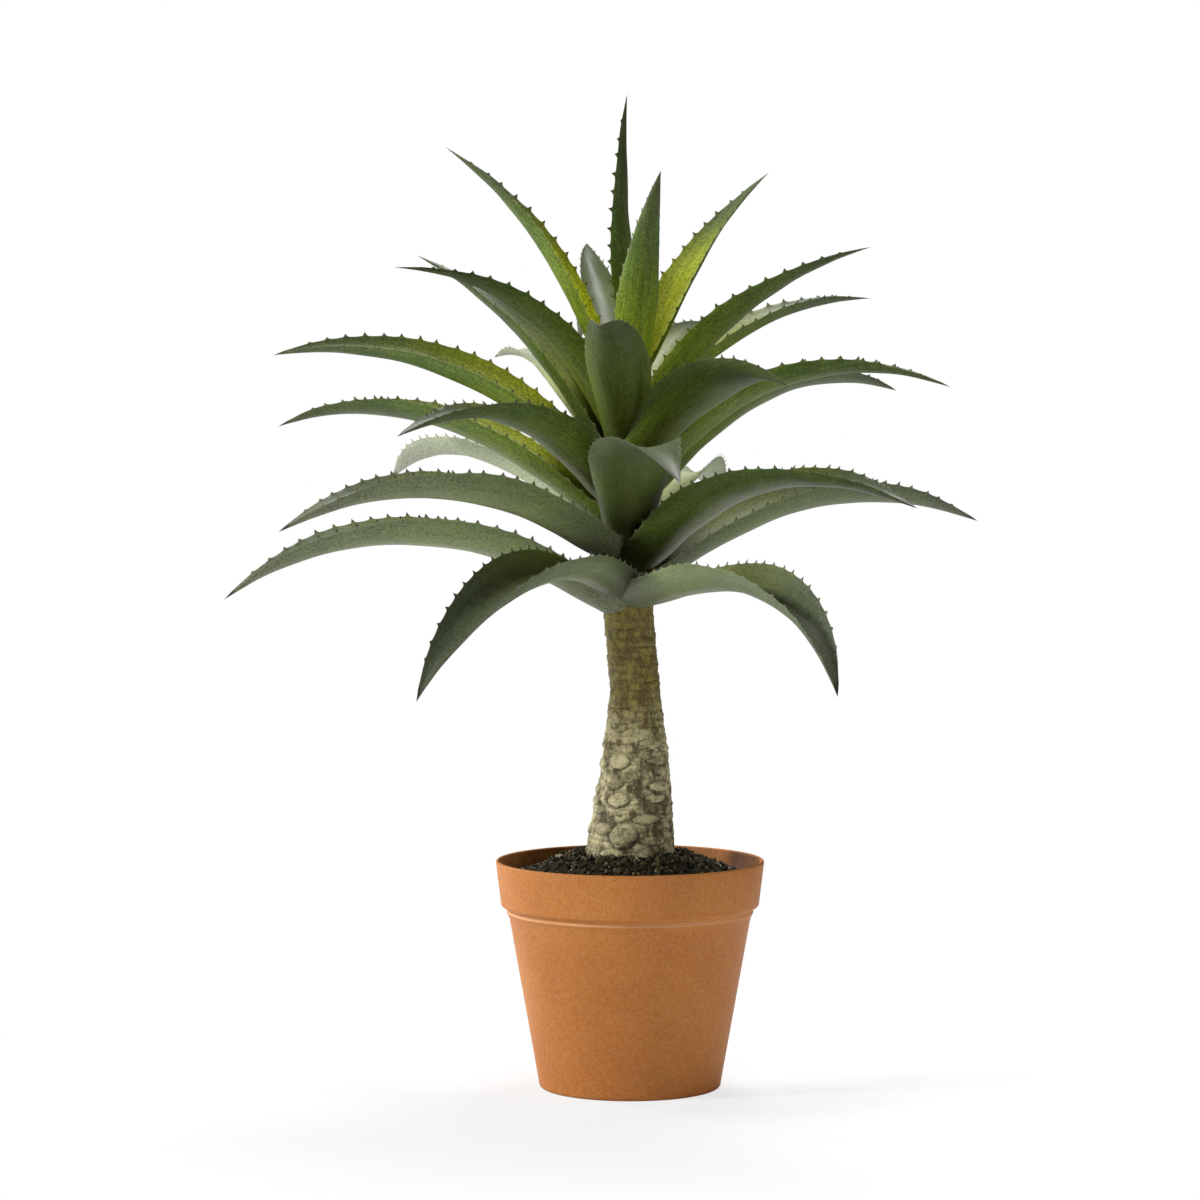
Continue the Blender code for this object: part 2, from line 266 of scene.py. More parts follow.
def add_node(tree, kind, feeds, **settings):
    node = tree.nodes.new(kind)
    for key, value in settings.items():
        setattr(node, key, value)
    for key, value in feeds.items():
        feed(tree, node.inputs[key], value)
    return node


def calculate(tree, operation, first, second=0.0):
    node = add_node(tree, "ShaderNodeMath", {0: first, 1: second}, operation=operation)
    return node.outputs[0]


def spread(tree, value, low, high, new_low=0.0, new_high=1.0):
    """Maps a value from one range to another and clamps it, with smooth ends."""
    node = add_node(tree, "ShaderNodeMapRange", {"Value": value, "From Min": low, "From Max": high,
                    "To Min": new_low, "To Max": new_high}, interpolation_type="SMOOTHSTEP")
    return node.outputs["Result"]


# the Mix node has a set of sockets for each kind of value: these are the colour ones
MIX_FIRST, MIX_SECOND, MIX_RESULT = 6, 7, 2


def blend_colour(tree, amount, first, second, kind="MIX"):
    node = add_node(tree, "ShaderNodeMix", {}, data_type="RGBA", blend_type=kind)
    feed(tree, node.inputs["Factor"], amount)
    feed(tree, node.inputs[MIX_FIRST], first)
    feed(tree, node.inputs[MIX_SECOND], second)
    return node.outputs[MIX_RESULT]


def attribute(tree, name):
    return add_node(tree, "ShaderNodeAttribute", {}, attribute_name=name).outputs["Fac"]


def grain(tree, vector, scale, detail=4.0, roughness=0.6):
    feeds = {"Vector": vector, "Scale": scale, "Detail": detail, "Roughness": roughness}
    return add_node(tree, "ShaderNodeTexNoise", feeds).outputs["Fac"]


def stretched(tree, vector, scale):
    return add_node(tree, "ShaderNodeMapping", {"Vector": vector, "Scale": scale}).outputs["Vector"]


def speckle_group():
    """Group: fine two-size speckles from Object coordinates, put out as a mask."""
    group = bpy.data.node_groups.new("speckles", "ShaderNodeTree")
    group.interface.new_socket("Vector", in_out="INPUT", socket_type="NodeSocketVector")
    for name, value in (("Fine", 900.0), ("Coarse", 220.0), ("Coverage", 0.5)):
        socket = group.interface.new_socket(name, in_out="INPUT", socket_type="NodeSocketFloat")
        socket.default_value = value
    group.interface.new_socket("Mask", in_out="OUTPUT", socket_type="NodeSocketFloat")
    entry = group.nodes.new("NodeGroupInput")
    leave = group.nodes.new("NodeGroupOutput")
    fine = grain(group, entry.outputs["Vector"], entry.outputs["Fine"], 2.0, 0.7)
    coarse = grain(group, entry.outputs["Vector"], entry.outputs["Coarse"], 3.0, 0.6)
    joined = calculate(group, "ADD", calculate(group, "MULTIPLY", fine, 0.65),
                       calculate(group, "MULTIPLY", coarse, 0.35))
    lowered = calculate(group, "MULTIPLY", entry.outputs["Coverage"], 0.3)
    low = calculate(group, "SUBTRACT", 0.62, lowered)
    high = calculate(group, "ADD", low, 0.12)
    group.links.new(spread(group, joined, low, high), leave.inputs["Mask"])
    return group


def speckles(tree, vector, fine, coarse, coverage):
    feeds = {"Vector": vector, "Fine": fine, "Coarse": coarse, "Coverage": coverage}
    return add_node(tree, "ShaderNodeGroup", feeds, node_tree=SPECKLES).outputs["Mask"]


def start_material(name, roughness):
    material = bpy.data.materials.new(name)
    material.use_nodes = True
    tree = material.node_tree
    shader = tree.nodes["Principled BSDF"]
    shader.inputs["Roughness"].default_value = roughness
    place = tree.nodes.new("ShaderNodeTexCoord").outputs["Object"]
    return material, tree, shader, place


def bump(tree, shader, height, strength, distance):
    node = add_node(tree, "ShaderNodeBump", {"Height": height, "Strength": strength,
                                             "Distance": distance})
    tree.links.new(node.outputs["Normal"], shader.inputs["Normal"])


SPECKLES = speckle_group()


# ================================================================ materials
def leaf_material():
    """Fleshy leaf: powdered green outside with painted sheen, olive inside, yellow foot with
    painted glow, painted shade at the foot, brown teeth and tip.
    """
    material, tree, shader, place = start_material("agave_leaf_skin", 0.5)
    shader.inputs["Specular IOR Level"].default_value = 0.18
    along = attribute(tree, "along")
    edge = attribute(tree, "edge")
    inner = attribute(tree, "inner")
    tooth = attribute(tree, "tooth")
    glow = attribute(tree, "glow")
    powder_and_sheen = attribute(tree, "powder_and_sheen")
    skin_and_shade_darkening = attribute(tree, "skin_and_shade_darkening")
    skin = add_node(tree, "ShaderNodeUVMap", {}, uv_map="skin").outputs["UV"]
    fibres = grain(tree, stretched(tree, skin, (30.0, 900.0, 1.0)), 1.0, 3.0, 0.55)
    blotches = grain(tree, place, 55.0, 3.0, 0.55)
    fine = grain(tree, place, 1300.0, 2.0, 0.7)

    # outer face: grey along the keel, partly bloom and partly a painted highlight, green towards
    # the edges, duller on the outer half
    outer = blend_colour(tree, spread(tree, blotches, 0.35, 0.65), OUTER_GREEN, OUTER_LIGHT_GREEN)
    bloom_and_highlight = calculate(tree, "MULTIPLY", spread(tree, edge, 0.55, 0.05, 0.0, 0.65),
                      calculate(tree, "SUBTRACT", 1.0, calculate(tree, "MULTIPLY", glow, 0.75)))
    outer = blend_colour(tree, bloom_and_highlight, outer, KEEL_BLOOM_AND_HIGHLIGHT_GREY)
    outer = blend_colour(tree, spread(tree, along, 0.45, 1.0, 0.0, 0.7), outer, OUTER_HALF_OLIVE)
    foot = calculate(tree, "MULTIPLY", spread(tree, along, 0.75, 0.10), glow)
    outer = blend_colour(tree, calculate(tree, "MULTIPLY", foot, 0.8), outer, FOOT_YELLOW_GREEN)

    # inner face: olive, with painted light glowing through the yellow foot
    inside = blend_colour(tree, spread(tree, blotches, 0.35, 0.65), INNER_LIGHT_GREEN, INNER_GREEN)
    inside = blend_colour(tree, spread(tree, along, 0.4, 1.0, 0.0, 0.6), inside, INNER_HALF_OLIVE)
    lit = calculate(tree, "MULTIPLY", spread(tree, along, 0.80, 0.20), glow)
    inside = blend_colour(tree, lit, inside, FOOT_YELLOW_GLOW)

    colour = blend_colour(tree, spread(tree, inner, 0.45, 0.55), outer, inside)
    mottle = spread(tree, grain(tree, place, 620.0, 3.0, 0.7), 0.40, 0.60, 0.70, 1.24)
    streaks = calculate(tree, "MULTIPLY", spread(tree, fibres, 0.35, 0.7, 0.80, 1.20), mottle)
    colour = blend_colour(tree, 1.0, colour, add_node(tree, "ShaderNodeCombineColor",
                          {0: streaks, 1: streaks, 2: streaks}).outputs[0], "MULTIPLY")
    # painted shade: darker towards the foot, where the leaves crowd round the stem, less so the
    # more a leaf glows
    depth = calculate(tree, "MULTIPLY", spread(tree, along, 0.34, 0.04),
                      calculate(tree, "SUBTRACT", 1.1, calculate(tree, "MULTIPLY", glow, 1.1)))
    colour = blend_colour(tree, depth, colour, GAP_SHADE_DARK)
    # pale powder: partly real bloom, partly a painted sheen where a leaf catches light at a grazing
    # angle
    film = spread(tree, grain(tree, place, 850.0, 3.0, 0.75), 0.38, 0.62, 0.35, 1.0)
    dust_and_sheen = calculate(tree, "MULTIPLY", film,
                     calculate(tree, "ADD", calculate(tree, "MULTIPLY", powder_and_sheen, 0.8), 0.035))
    colour = blend_colour(tree, dust_and_sheen, colour, POWDER_AND_SHEEN_GREY)
    colour = blend_colour(tree, spread(tree, edge, 0.955, 0.995, 0.0, 0.35), colour, MARGIN_PALE)
    colour = blend_colour(tree, spread(tree, tooth, 0.25, 0.55), colour, TOOTH_BROWN)
    colour = blend_colour(tree, spread(tree, along, 0.955, 0.985), colour, TIP_BROWN)
    # per-leaf darkening: partly the leaf's own darker skin, partly painted shade
    colour = blend_colour(tree, skin_and_shade_darkening, colour, SKIN_AND_SHADE_DARK_GREEN)
    tree.links.new(colour, shader.inputs["Base Color"])
    tree.links.new(spread(tree, dust_and_sheen, 0.0, 0.6, 0.48, 0.78), shader.inputs["Roughness"])
    relief = calculate(tree, "ADD", calculate(tree, "MULTIPLY", fibres, 0.6), fine)
    bump(tree, shader, relief, 0.35, 0.0004)
    return material


def trunk_material():
    """Corky bark: olive and brown above, pale khaki scars and dark cracks below, painted shade in
    the grooves.
    """
    material, tree, shader, place = start_material("scarred_trunk_bark", 0.8)
    height = add_node(tree, "ShaderNodeSeparateXYZ", {"Vector": place}).outputs["Z"]
    scar = attribute(tree, "scar")
    groove = attribute(tree, "groove")
    bands = grain(tree, stretched(tree, place, (85.0, 85.0, 330.0)), 1.0, 5.0, 0.68)
    patches = grain(tree, place, 90.0, 4.0, 0.65)
    mottle = grain(tree, stretched(tree, place, (250.0, 250.0, 120.0)), 1.0, 6.0, 0.78)
    upper = blend_colour(tree, spread(tree, mottle, 0.40, 0.62), BARK_BROWN, BARK_OLIVE)
    worn = calculate(tree, "ADD", calculate(tree, "MULTIPLY", patches, 0.55),
                     calculate(tree, "MULTIPLY", mottle, 0.45))
    lower = blend_colour(tree, spread(tree, worn, 0.42, 0.58), CORK_BROWN, CORK_KHAKI)
    colour = blend_colour(tree, spread(tree, height, SMOOTH_FOOT, CORK_TOP), upper, lower)
    colour = blend_colour(tree, calculate(tree, "MULTIPLY", scar, 0.35), colour, SCAR_KHAKI)
    cracks = calculate(tree, "MULTIPLY", spread(tree, bands, 0.42, 0.34, 0.0, 0.8),
                       spread(tree, height, SMOOTH_FOOT, CORK_TOP, 0.4, 1.0))
    colour = blend_colour(tree, cracks, colour, CRACK_DARK)
    # painted shade in the grooves round the scars and in the ring cracks
    colour = blend_colour(tree, calculate(tree, "MULTIPLY", groove, 0.95), colour, GROOVE_SHADE_DARK)
    dots = speckles(tree, place, 1100.0, 350.0, 0.42)
    colour = blend_colour(tree, calculate(tree, "MULTIPLY", dots, 0.55), colour, SPECK_BROWN)
    tree.links.new(colour, shader.inputs["Base Color"])
    relief = calculate(tree, "ADD", calculate(tree, "MULTIPLY", bands, 0.8), patches)
    bump(tree, shader, relief, 1.0, 0.0022)
    return material


def soil_material():
    """Dark damp compost with pale crumbs, partly grit and partly painted glints."""
    material, tree, shader, place = start_material("damp_potting_soil", 0.75)
    shader.inputs["Specular IOR Level"].default_value = 0.2
    tone = attribute(tree, "tone")
    lumps = grain(tree, place, 400.0, 4.0, 0.65)
    colour = blend_colour(tree, spread(tree, lumps, 0.35, 0.7), COMPOST_BLACK, COMPOST_BROWN)
    colour = blend_colour(tree, spread(tree, tone, 0.55, 0.8), colour, CRUMB_BROWN)
    # painted glints: the palest crumbs stand for grit and for glints of light
    colour = blend_colour(tree, spread(tree, tone, 0.955, 0.975), colour, GRIT_AND_GLINT_PALE)
    tree.links.new(colour, shader.inputs["Base Color"])
    tree.links.new(spread(tree, lumps, 0.3, 0.7, 0.35, 0.85), shader.inputs["Roughness"])
    bump(tree, shader, lumps, 0.8, 0.001)
    return material


def pot_material():
    """Matt clay-coloured moulding: fine mottling, a painted highlight along the ridge and a soiled
    inside.
    """
    material, tree, shader, place = start_material("clay_coloured_plastic", 0.58)
    shader.inputs["Specular IOR Level"].default_value = 0.22
    clouds = grain(tree, place, 18.0, 3.0, 0.5)
    colour = blend_colour(tree, spread(tree, clouds, 0.3, 0.7), CLAY, CLAY_LIGHT)
    pale = speckles(tree, place, 1400.0, 420.0, 0.52)
    colour = blend_colour(tree, calculate(tree, "MULTIPLY", pale, 0.30), colour, CLAY_PALE_FLECK)
    dark = speckles(tree, stretched(tree, place, (1.0, 1.0, 1.15)), 1150.0, 300.0, 0.48)
    colour = blend_colour(tree, calculate(tree, "MULTIPLY", dark, 0.32), colour, CLAY_DARK_FLECK)
    height = add_node(tree, "ShaderNodeSeparateXYZ", {"Vector": place}).outputs["Z"]
    # painted highlight: a pale line along the ridge under the band
    above_ridge = calculate(tree, "SUBTRACT", height, RIDGE_HEIGHT + RIDGE_ROUND / 2)
    off_ridge = calculate(tree, "ABSOLUTE", above_ridge)
    colour = blend_colour(tree, spread(tree, off_ridge, 1.6 * MM, 0.3 * MM, 0.0, 0.55), colour,
                          RIDGE_HIGHLIGHT_PALE)
    inside = attribute(tree, "inside")
    stains = grain(tree, place, 160.0, 4.0, 0.6)
    soiled = calculate(tree, "MULTIPLY", inside, spread(tree, stains, 0.3, 0.6, 0.35, 0.85))
    colour = blend_colour(tree, soiled, colour, CLAY_SOILED)
    tree.links.new(colour, shader.inputs["Base Color"])
    relief = grain(tree, place, 1300.0, 2.0, 0.6)
    bump(tree, shader, relief, 0.25, 0.0005)
    return material


# ================================================================ mesh helpers
def finish_piece(name, bm, material, node, sharp=40):
    """Turns a bmesh into a piece that rides on the plant and stands for a CAD node."""
    mesh = bpy.data.meshes.new(name)
    bm.to_mesh(mesh)
    bm.free()
    mesh.materials.append(material)
    for polygon in mesh.polygons:
        polygon.use_smooth = True
    mesh.set_sharp_from_angle(angle=radians(sharp))
    piece = bpy.data.objects.new(name, mesh)
    bpy.context.scene.collection.objects.link(piece)
    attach(piece, "root")
    if node:
        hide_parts(node)
    return piece


def arc(centre, radius, start, end, count):
    """Points of a round stretch in the profile plane, angles in degrees."""
    points = []
    for index in range(count + 1):
        angle = radians(start + (end - start) * index / count)
        points.append((centre[0] + radius * cos(angle), centre[1] + radius * sin(angle)))
    return points


def interpolate(points, height):
    """Value (m) at a height (m) of a list of (height, value) pairs in mm."""
    level = height / MM
    if level <= points[0][0]:
        return points[0][1] * MM
    for (low, first), (high, second) in zip(points, points[1:]):
        if level <= high:
            share = (level - low) / (high - low)
            return (first + (second - first) * share) * MM
    return points[-1][1] * MM


def spin_profile(profile, steps):
    """A closed bmesh turned about Z from a profile that starts and ends on the axis."""
    bm = bmesh.new()
    verts = [bm.verts.new((radius, 0, height)) for radius, height in profile]
    edges = [bm.edges.new(pair) for pair in zip(verts, verts[1:])]
    bmesh.ops.spin(bm, geom=verts + edges, cent=(0, 0, 0), axis=(0, 0, 1), angle=2 * pi,
                   steps=steps, use_merge=True, use_duplicate=False)
    bmesh.ops.remove_doubles(bm, verts=bm.verts, dist=1e-6)
    bmesh.ops.recalc_face_normals(bm, faces=bm.faces)
    return bm


# ================================================================ pot
def inner_radius(height):
    """Inside radius of the pot at a height, one wall inside its outer face."""
    if height >= BAND_BOTTOM_HEIGHT:
        share = (height - BAND_BOTTOM_HEIGHT) / (POT_HEIGHT - BAND_BOTTOM_HEIGHT)
        return BAND_BOTTOM_RADIUS + (POT_TOP_RADIUS - BAND_BOTTOM_RADIUS) * share - POT_WALL
    if height >= BODY_TOP_HEIGHT:
        share = (height - BODY_TOP_HEIGHT) / (BAND_BOTTOM_HEIGHT - BODY_TOP_HEIGHT)
        return BODY_TOP_RADIUS + (BAND_BOTTOM_RADIUS - BODY_TOP_RADIUS) * share - POT_WALL
    share = height / BODY_TOP_HEIGHT
    return FOOT_RADIUS + (BODY_TOP_RADIUS - FOOT_RADIUS) * share - POT_WALL


def make_pot(material):
    """Turned cup: recessed underside, tapered wall, soft ridge under the rim band, round lip."""
    lip_top = POT_HEIGHT - POT_LIP
    outer_lip = arc((POT_TOP_RADIUS - POT_LIP, lip_top), POT_LIP, 90, 0, 6)
    inner_lip = arc((POT_TOP_RADIUS - POT_WALL + POT_LIP, lip_top), POT_LIP, 180, 90, 6)
    foot = arc((FOOT_RADIUS - FOOT_ROUND, FOOT_ROUND), FOOT_ROUND, 0, -90, 8)
    band_centre = (BAND_BOTTOM_RADIUS - BAND_ROUND, BAND_BOTTOM_HEIGHT + BAND_LIFT)
    band_corner = arc(band_centre, BAND_ROUND, 0, -70, 6)
    ridge = arc((BODY_TOP_RADIUS + 0.2 * MM, RIDGE_HEIGHT), RIDGE_ROUND, 55, -50, 8)
    inside = [(0, POT_FLOOR), (inner_radius(POT_FLOOR), POT_FLOOR),
              (inner_radius(BODY_TOP_HEIGHT), BODY_TOP_HEIGHT),
              (inner_radius(BAND_BOTTOM_HEIGHT), BAND_BOTTOM_HEIGHT)]
    underside = [(FOOT_RADIUS - FOOT_RING, 0),
                 (FOOT_RADIUS - FOOT_RING - UNDERSIDE_RECESS, UNDERSIDE_RECESS),
                 (0, UNDERSIDE_RECESS)]
    below = [(BODY_TOP_RADIUS - 0.1 * MM, BODY_TOP_HEIGHT - 0.6 * MM)]
    profile = inside + inner_lip + outer_lip + band_corner + ridge + below + foot + underside
    bm = spin_profile(profile, POT_STEPS)
    layer = bm.verts.layers.float.new("inside")
    for vertex in bm.verts:
        radius = vertex.co.to_2d().length
        height = vertex.co.z
        if height > POT_FLOOR - 1e-5 and radius < inner_radius(height) + 0.4 * MM:
            vertex[layer] = 1.0 if height < POT_HEIGHT - CLEAN_RIM else 0.45
    return finish_piece("pot_body", bm, material, "pot", 60)


# ================================================================ soil
def stem_radius(height):
    return interpolate(STEM_RADII, height)


def stem_lean(height):
    return interpolate(STEM_LEAN, height)


def soil_height(radius):
    """Top of the soil: lowest at the wall, banked up against the trunk in a smooth mound."""
    trunk_radius = stem_radius(SOIL_LEVEL)
    reach = (radius - trunk_radius) / (inner_radius(SOIL_LEVEL) - trunk_radius)
    return SOIL_LEVEL + SOIL_MOUND * (0.5 + 0.5 * cos(pi * min(max(reach, 0), 1)))


def make_soil(material):
    """The soil's lumpy top, dished to the wall, over a flat underside inside the pot."""
    outer = inner_radius(SOIL_LEVEL) - 0.2 * MM
    reaches = [outer * index / SOIL_RINGS for index in range(SOIL_RINGS, -1, -1)]
    top = [(reach, soil_height(reach)) for reach in reaches]
    low = SOIL_LEVEL - SOIL_DEPTH
    profile = [(0, low), (inner_radius(low) - 0.4 * MM, low)] + top
    bm = spin_profile(profile, SOIL_STEPS)
    for vertex in bm.verts:
        if vertex.co.z > SOIL_LEVEL - 1 * MM:
            rough = noise.fractal(vertex.co * SOIL_ROUGH_PITCH, 0.8, 2.1, 4)
            lumps = noise.noise(vertex.co * SOIL_LUMP_PITCH)
            vertex.co.z += rough * SOIL_ROUGHNESS + lumps * SOIL_LUMPS
    bm.verts.layers.float.new("tone")
    return finish_piece("soil_bed", bm, material, "soil", 180)


def make_crumbs(material):
    """Loose crumbs of compost on the soil, the palest standing for grit and for painted glints,
    some of them against the wall.
    """
    rng = Random(CRUMB_SEED)
    bm = bmesh.new()
    tone = bm.verts.layers.float.new("tone")
    outer = inner_radius(SOIL_LEVEL) - 2.5 * MM
    inner = stem_radius(SOIL_LEVEL) - 2 * MM
    for _ in range(CRUMBS):
        radius = sqrt(rng.uniform(inner * inner, outer * outer))
        angle = rng.uniform(0, 2 * pi)
        size = rng.uniform(0.5, 1.0) ** 2 * CRUMB_SIZE
        place = Vector((radius * cos(angle), radius * sin(angle), soil_height(radius)))
        place.z += noise.noise(place * SOIL_LUMP_PITCH) * SOIL_LUMPS
        place.z += rng.uniform(-0.3, 0.9) * size
        turn = Matrix.Rotation(rng.uniform(0, pi), 4, Vector((rng.random(), rng.random(), 1)))
        stretch, flatness = rng.uniform(0.6, 1.3), rng.uniform(0.5, 0.9)
        shape = Matrix.Diagonal((size * stretch, size, size * flatness, 1))
        made = bmesh.ops.create_icosphere(bm, subdivisions=1, radius=1.0,
                                          matrix=Matrix.Translation(place) @ turn @ shape)
        shade = rng.random()
        for vertex in made["verts"]:
            dent = Vector((rng.uniform(-1, 1), rng.uniform(-1, 1), rng.uniform(-1, 1)))
            vertex.co += dent * size * CRUMB_DENTS
            vertex[tone] = shade
    return finish_piece("soil_crumbs", bm, material, None, 30)


# ================================================================ trunk
def trunk_scars():
    """Old leaf scars: (angle, height, half width, half height, rise), bolder low on the trunk."""
    rng = Random(SCAR_SEED)
    scars = [(radians(turn), level * MM, half * MM, tall * MM, rise * MM)
             for turn, level, half, tall, rise in BOLD_SCARS]
    height = SCARS_FROM
    angle = FIRST_SCAR_ANGLE
    while height < ROSETTE_FOOT:
        age = min(1, max(0, (SCAR_YOUNGEST - height) / SCAR_GROWN_BELOW))
        half = (10.0 - 2.0 * age) * rng.uniform(0.7, 1.25) * MM
        tall = (1.6 + 1.1 * age) * rng.uniform(0.7, 1.2) * MM
        rise = (0.35 + 1.15 * age) * rng.uniform(0.6, 1.1) * MM
        scars.append((angle, height, half, tall, rise))
        angle = (angle + radians(SCAR_TURN) + rng.uniform(-0.6, 0.6)) % (2 * pi)
        height += rng.uniform(1.7, 3.3) * MM
    return scars


def trunk_relief(scars, angle, height, radius):
    """Rise of the bark at a point, with masks for scar faces and the grooves round them."""
    rise, face, groove = 0.0, 0.0, 0.0
    for centre, level, half, tall, swell in scars:
        up = (height - level) / tall
        if abs(up) > 1.6:
            continue
        around = (angle - centre + pi) % (2 * pi) - pi
        across = around * radius / half
        if abs(across) > 1.4:
            continue
        reach = abs(up) ** 1.5 + across * across
        if reach < 1:
            dome = min(1, (1 - reach) * 2.5) ** 0.6
            rise = max(rise, 0.6 * swell * dome * (1 - 0.3 * up))
            face = max(face, min(1, dome * 1.5) * swell / (1.5 * MM))
        else:
            ring = exp(-((reach - 1.25) / 0.28) ** 2)
            groove = max(groove, ring * (0.6 if up > 0 else 1.0) * min(1, swell / (0.9 * MM)))
    groove *= 1 - min(1, face * 1.5)
    return rise - groove * GROOVE_DEPTH, face, groove


def trunk_rings(spot, height):
    """Growth rings round the trunk: flat steps with a narrow wavering crack between them."""
    waver = noise.noise(Vector((spot.x * 60, spot.y * 60, height * 45))) * RING_WAVER
    place = (height + waver) / RING_SPACING
    gap = abs(place - round(place))
    strength = 0.5 + 0.5 * noise.noise(Vector((spot.x * 45, spot.y * 45, round(place) * 7.3)))
    return exp(-(gap / RING_CRACK) ** 2) * min(1, max(0, strength * 1.5 - 0.2)), strength


def make_trunk(material):
    """The bare trunk with its leaf scars and rings, and the stem that carries the rosette."""
    scars = trunk_scars()
    low = SOIL_LEVEL - TRUNK_IN_SOIL
    bm = bmesh.new()
    bmesh.ops.create_grid(bm, x_segments=TRUNK_AROUND, y_segments=TRUNK_UP, size=0.5)
    scar_layer = bm.verts.layers.float.new("scar")
    groove_layer = bm.verts.layers.float.new("groove")
    for vertex in bm.verts:
        angle = (vertex.co.x + 0.5) * 2 * pi
        height = low + (vertex.co.y + 0.5) * (TRUNK_HIGH.z - low)
        radius = stem_radius(height)
        spot = Vector((cos(angle) * radius, sin(angle) * radius, height))
        rise, face, groove = trunk_relief(scars, angle, height, radius)
        bare = min(max((ROSETTE_FOOT + BARK_FADE - height) / (2 * BARK_FADE), 0), 1)
        crack, step = trunk_rings(spot, height)
        crack *= 1 - min(1, face * 1.5)
        knobs = noise.fractal(spot * 130, 0.9, 2.0, 3)
        rise = (rise - 0.5 * MM + (step * 0.8 - crack * 0.9 + knobs * 0.8) * MM) * bare
        groove = max(groove, crack)
        cap = min(1, max(0, (TRUNK_HIGH.z - height) / STEM_CAP))
        radius = max(radius + rise, 0) * sqrt(cap)
        if height < low + 1e-6:
            radius = 0
        vertex.co = Vector((cos(angle) * radius + stem_lean(height), sin(angle) * radius, height))
        vertex[scar_layer] = face * bare
        vertex[groove_layer] = groove * bare
    bmesh.ops.remove_doubles(bm, verts=bm.verts, dist=1e-6)
    bmesh.ops.recalc_face_normals(bm, faces=bm.faces)
    return finish_piece("trunk_and_stem", bm, material, "trunk", 70)


# ================================================================ leaves
def leaf_growth(leaf, share):
    """Pitch, heading and roll (radians) along the leaf: it rises, droops and turns as it grows."""
    bearing, rise, droop, bend, sweep, twist = leaf[2:8]
    pitch = radians(rise - droop * share ** bend)
    heading = radians(bearing + sweep * share * share)
    return pitch, heading, radians(twist * share)


def clasp(share):
    """How much of the broad clasping foot is left at a share of the leaf's length."""
    return max(0, 1 - share / LEAF_FOOT) ** 1.6


def leaf_width(share, width, fullness):
    """Flat width along the leaf: narrow seat, widest before the middle, pointed tip."""
    if share < LEAF_WIDEST_AT:
        rise = sin(pi / 2 * share / LEAF_WIDEST_AT)
        return width * (LEAF_BASE_SHARE + (1 - LEAF_BASE_SHARE) * rise)
    outer = (share - LEAF_WIDEST_AT) / (1 - LEAF_WIDEST_AT)
    return width * (1 - outer ** fullness)


def leaf_fold(share, fold):
    """Arc angle of the channel: deep at the seat, easing to the leaf's own fold."""
    return radians(LEAF_BASE_FOLD + (fold - LEAF_BASE_FOLD) * min(1, share / LEAF_FOLD_EASE))


def leaf_axes(pitch, heading, roll):
    """Direction, side and inner normal of the leaf at one station."""
    forward = Vector((cos(pitch) * cos(heading), cos(pitch) * sin(heading), sin(pitch)))
    upward = Vector((-sin(pitch) * cos(heading), -sin(pitch) * sin(heading), cos(pitch)))
    side = upward.cross(forward)
    return forward, side * cos(roll) + upward * sin(roll), upward * cos(roll) - side * sin(roll)


def leaf_seat(height, bearing, pitch, width):
    """Where the midrib starts, so that the channel's edges just clear the stem."""
    fold = leaf_fold(0, 0)
    arc_radius = LEAF_BASE_SHARE * width / fold
    depth = arc_radius * (1 - cos(fold / 2))
    half = arc_radius * sin(fold / 2)
    clear = stem_radius(height) + LEAF_SEAT_GAP
    edge = sqrt(max(clear * clear - half * half, 0)) + depth * max(sin(pitch), 0)
    reach = max(edge, clear + LEAF_THICK_BASE / 2 * abs(sin(pitch)))
    return Vector((stem_lean(height) + reach * cos(bearing), reach * sin(bearing), height))


def leaf_midrib(leaf):
    """Midrib points at even shares of the length, added up from short straight steps."""
    size, bearing, rise = leaf[1:4]
    length, width, _ = LEAF_SIZES[size]
    height = SEAT_LOWEST + SEAT_STEP * LEAVES.index(leaf)
    place = leaf_seat(height, radians(bearing), radians(rise), width * MM)
    points = [place.copy()]
    for index in range(MIDRIB_STEPS):
        forward = leaf_axes(*leaf_growth(leaf, (index + 0.5) / MIDRIB_STEPS))[0]
        place = place + forward * (length * MM / MIDRIB_STEPS)
        points.append(place.copy())
    return points


def leaf_stations(length, rng):
    """Shares along the leaf, close together at the teeth, and each tooth's share, side and size."""
    count = max(FEWEST_TEETH, round(length * TEETH_COUNT_SPAN / TOOTH_SPACING))
    step = TEETH_SPAN / count
    fine = TOOTH_HALF / length
    shares = {0.0, 0.015, 0.97, 0.98, 0.99, 1.0}
    teeth = []
    for index in range(count):
        for side, lag in ((1, 0.0), (-1, 0.5)):
            centre = TEETH_FROM + (index + lag + rng.uniform(-0.12, 0.12)) * step
            grown = min(1, 0.35 + centre * 4) * min(1, (0.98 - centre) * 4)
            teeth.append((centre, side, grown * rng.uniform(0.75, 1.15)))
            shares.update((centre - fine, centre - fine * 0.45, centre, centre + fine * 0.35,
                           centre + fine))
        shares.update((TEETH_FROM + (index + 0.25) * step, TEETH_FROM + (index + 0.75) * step))
    kept = [share for share in sorted(shares) if 0 <= share <= 1]
    return kept, teeth, step


def edge_shape(teeth, step, share, side, length):
    """How far the edge stands out at a share of the length, and how much of that is tooth."""
    nearest, tall = 1.0, 0.0
    for centre, tooth_side, size in teeth:
        if tooth_side == side and abs(share - centre) < abs(nearest):
            nearest, tall = share - centre, size
    away = abs(nearest) * length
    spike = max(0, 1 - away / TOOTH_HALF) ** TOOTH_TAPER
    dip = min(1, abs(nearest) / (step / 2)) if share < 0.95 else 0.0
    return TOOTH_HEIGHT * tall * spike - SCALLOP * sin(pi / 2 * dip), spike * min(1, tall)


